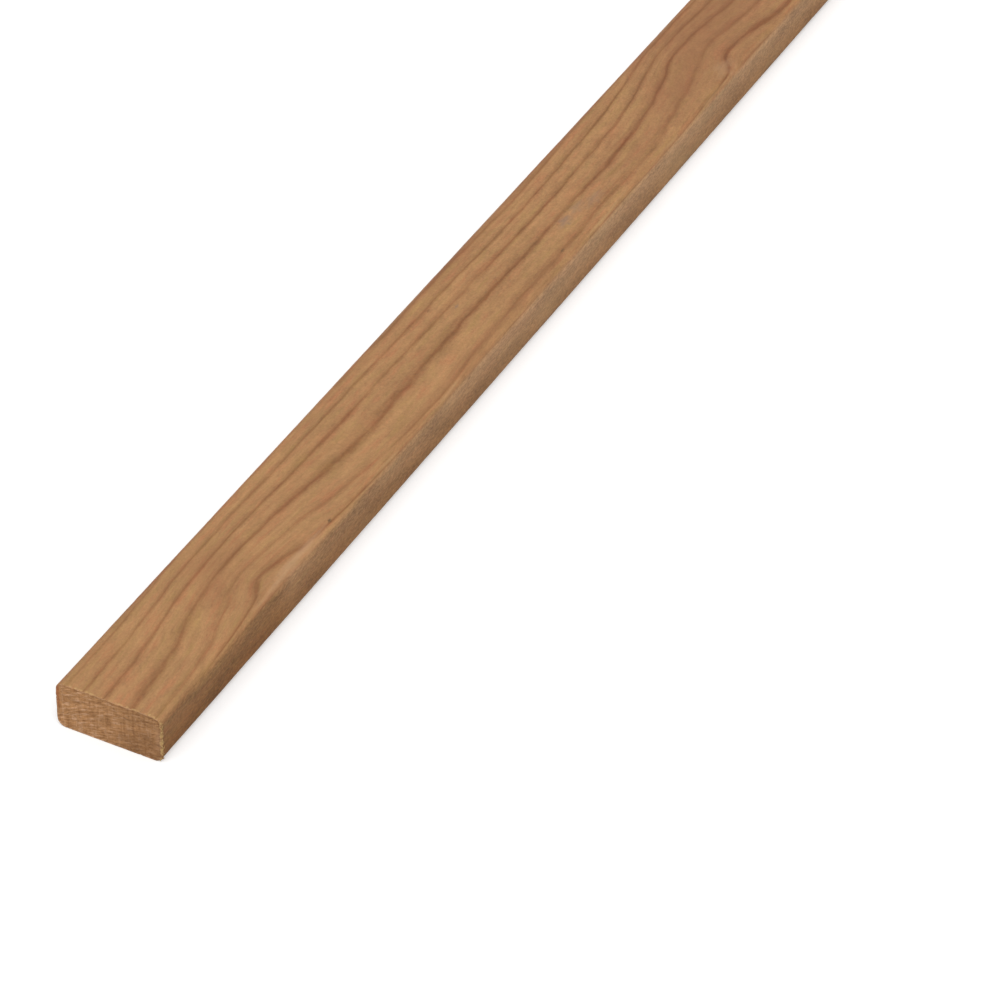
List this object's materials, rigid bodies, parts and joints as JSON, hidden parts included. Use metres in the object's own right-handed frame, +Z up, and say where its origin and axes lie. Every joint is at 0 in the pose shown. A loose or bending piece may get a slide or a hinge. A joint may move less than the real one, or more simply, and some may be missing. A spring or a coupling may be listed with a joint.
{
  "type": "decking board",
  "caption": "Long narrow planed timber board with rounded long edges and square-sawn ends, for laying decking.",
  "frame": {"origin": "middle of the underside, where the board rests on its joists", "axes": "+X along the board's length, +Y across its width, +Z up through its thickness to the walking face"},
  "size_m": [1.8, 0.06, 0.028],
  "materials": {
    "timber": "matte"
  },
  "bodies": {
    "root": {"board": "timber"}
  },
  "joints": []
}
